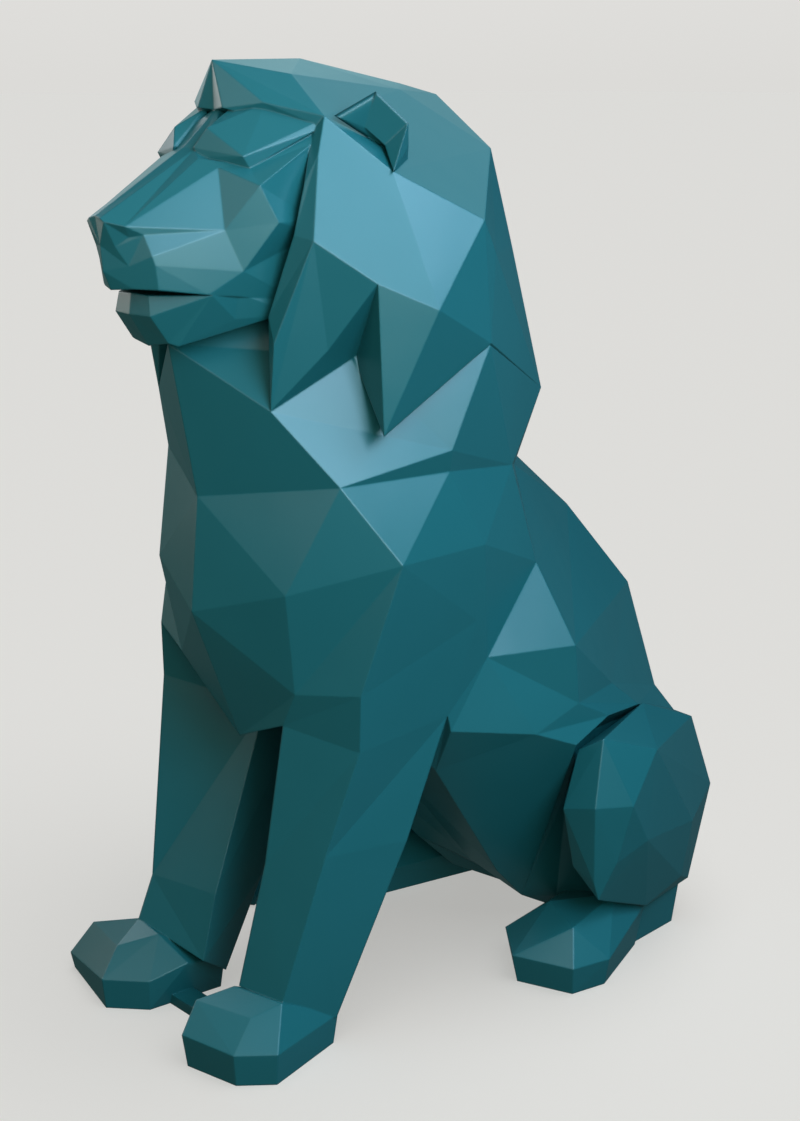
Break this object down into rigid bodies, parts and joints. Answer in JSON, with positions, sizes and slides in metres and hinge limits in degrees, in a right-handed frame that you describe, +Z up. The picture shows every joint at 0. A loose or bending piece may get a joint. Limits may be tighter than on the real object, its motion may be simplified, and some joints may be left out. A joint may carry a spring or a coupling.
{
  "type": "garden sculpture",
  "caption": "Seated faceted lion sculpture in satin teal, head held straight, raised crest, pointed mane locks, tail lying on the floor, standing on its own feet.",
  "frame": {"origin": "on the floor, under the middle of the footprint", "axes": "+Z up; the lion faces -Y; its left side is +X"},
  "size_m": [0.648, 0.981, 1.2],
  "materials": {
    "satin_paint": "satin"
  },
  "bodies": {
    "root": {"lion": "satin_paint"}
  },
  "joints": []
}
